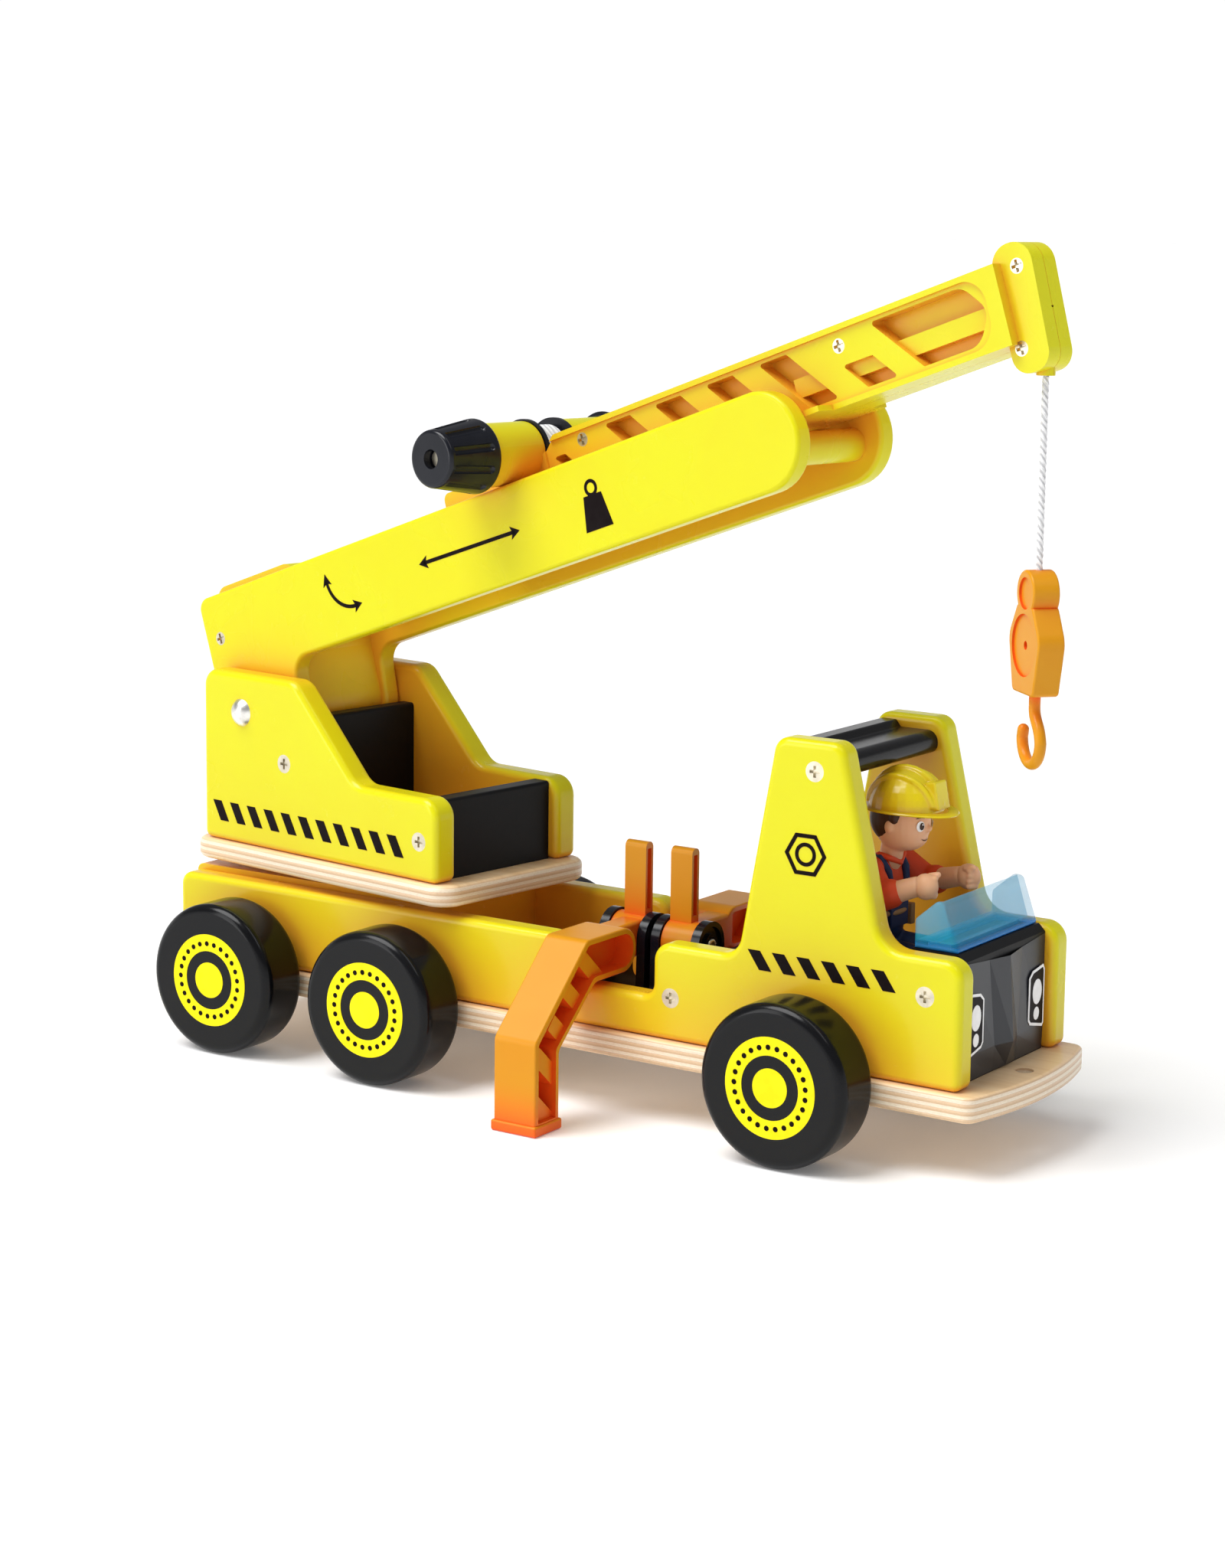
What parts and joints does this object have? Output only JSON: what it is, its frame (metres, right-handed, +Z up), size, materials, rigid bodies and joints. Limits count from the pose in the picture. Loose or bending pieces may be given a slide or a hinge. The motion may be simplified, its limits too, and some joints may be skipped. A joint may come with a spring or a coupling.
{
  "type": "toy crane truck",
  "caption": "Toy wooden crane truck with a turning turret, telescoping boom, hand winch, hook on a cord, fold-down outriggers, spinning wheels and a seated driver figure.",
  "frame": {"origin": "on the ground under the middle of the truck's length and width, at the centre of the base of its box, measured without the hanging cord and hook", "axes": "+X towards the front of the truck (the end the boom points to), +Y towards its left side, +Z up"},
  "size_m": [0.4083, 0.1726, 0.3243],
  "materials": {
    "yellow_paint": "glossy yellow paint over wood",
    "yellow_plastic": "moulded, glossy",
    "plywood": "clear-lacquered plywood with layered edges",
    "black_paint": "glossy black paint over wood",
    "black_plastic": "moulded, glossy",
    "orange_plastic": "moulded, glossy",
    "clear_blue": "clear tinted plastic",
    "steel": "zinc plated",
    "bright_steel": "polished",
    "white_cord": "braided",
    "figure_skin": "satin",
    "figure_shirt": "satin",
    "figure_overalls": "satin",
    "figure_boots": "satin",
    "figure_helmet": "glossy"
  },
  "bodies": {
    "chassis": {"base_board": "plywood", "chassis_screws": "steel", "driver_arms": "figure_skin", "driver_boots": "figure_boots", "driver_hands": "figure_skin", "driver_head": "figure_skin", "driver_helmet": "figure_helmet", "driver_shirt": "figure_shirt", "driver_trousers": "figure_overalls", "hood_block": "black_paint", "middle_cross_block": "black_paint", "outrigger_brackets": "black_plastic", "outrigger_shaft": "steel", "outrigger_shaft_screw": "steel", "rear_deck_block": "yellow_paint", "roof_bar": "black_paint", "seat_block": "black_paint", "side_panel_left": "yellow_paint", "side_panel_right": "yellow_paint", "turntable_bolt": "steel", "turntable_washer": "black_plastic", "windshield": "clear_blue"},
    "axle_set_front": {"axle_front": "steel", "wheel_front_right": "black_paint", "wheel_front_left": "black_paint"},
    "axle_set_middle": {"axle_middle": "steel", "wheel_middle_right": "black_paint", "wheel_middle_left": "black_paint"},
    "axle_set_rear": {"axle_rear": "steel", "wheel_rear_right": "black_paint", "wheel_rear_left": "black_paint"},
    "turret": {"turret_plate": "plywood", "turret_panel_right": "yellow_paint", "turret_panel_left": "yellow_paint", "turret_front_block": "black_paint", "turret_rear_block": "black_paint", "turret_screws": "steel", "boom_pivot_bolt": "bright_steel"},
    "outer_boom": {"boom_shell_right": "yellow_plastic", "boom_shell_left": "yellow_plastic", "boom_centre_web": "yellow_plastic", "boom_nose_spacer": "yellow_plastic", "boom_screws": "steel"},
    "inner_boom": {"inner_boom_right": "yellow_plastic", "inner_boom_left": "yellow_plastic", "inner_boom_screws": "steel", "winch_collars": "yellow_plastic", "cord_guide_roller": "black_plastic", "hoist_cord_run": "white_cord"},
    "winch": {"winch_axle": "steel", "winch_drum": "black_plastic", "cord_winding": "white_cord", "winch_knob_right": "black_plastic", "winch_knob_left": "black_plastic"},
    "hoist_line": {"hoist_cord_hanging": "white_cord"},
    "hook": {"hook_block": "orange_plastic", "hook": "orange_plastic"},
    "outrigger_right": {"outrigger_right": "orange_plastic"},
    "outrigger_left": {"outrigger_left": "orange_plastic"}
  },
  "joints": [
    {"name": "front_axle_spin", "type": "hinge", "parent": "chassis", "child": "axle_set_front", "pos_m": [0.1099, 0, 0.03], "axis": [0, 1, 0], "continuous": true},
    {"name": "middle_axle_spin", "type": "hinge", "parent": "chassis", "child": "axle_set_middle", "pos_m": [-0.0714, 0, 0.03], "axis": [0, 1, 0], "continuous": true},
    {"name": "rear_axle_spin", "type": "hinge", "parent": "chassis", "child": "axle_set_rear", "pos_m": [-0.1497, 0, 0.03], "axis": [0, 1, 0], "continuous": true},
    {"name": "turret_turn", "type": "hinge", "parent": "chassis", "child": "turret", "pos_m": [-0.1147, 0, 0.07], "axis": [0, 0, 1], "continuous": true},
    {"name": "boom_luff", "type": "hinge", "parent": "turret", "child": "outer_boom", "pos_m": [-0.15849, 0.00597, 0.1309], "axis": [-0.135, -0.9908, 0], "range_deg": [-10, 40]},
    {"name": "boom_extend", "type": "slide", "parent": "outer_boom", "child": "inner_boom", "axis": [0.9374, -0.1277, 0.3239], "range_m": [-0.05, 0.055]},
    {"name": "winch_turn", "type": "hinge", "parent": "inner_boom", "child": "winch", "pos_m": [-0.03314, -0.01111, 0.24144], "axis": [-0.135, -0.9908, 0], "range_deg": [-230, 650]},
    {"name": "hook_swing", "type": "hinge", "parent": "inner_boom", "child": "hoist_line", "pos_m": [0.19444, -0.04213, 0.281], "axis": [0.135, 0.9908, 0], "range_deg": [-25, 25]},
    {"name": "hook_hoist", "type": "slide", "parent": "hoist_line", "child": "hook", "axis": [0, 0, -1], "range_m": [-0.045, 0.13], "deforming": ["hoist_cord_hanging"]},
    {"name": "outrigger_right_fold", "type": "hinge", "parent": "chassis", "child": "outrigger_right", "pos_m": [0.0113, 0, 0.058], "axis": [1, 0, 0], "range_deg": [-60, 0]},
    {"name": "outrigger_left_fold", "type": "hinge", "parent": "chassis", "child": "outrigger_left", "pos_m": [0.0243, 0, 0.058], "axis": [1, 0, 0], "range_deg": [0, 60]}
  ],
  "couplings": [
    {"joint": "winch_turn", "follows": "hook_hoist", "rad_per_m": 85.47}
  ]
}
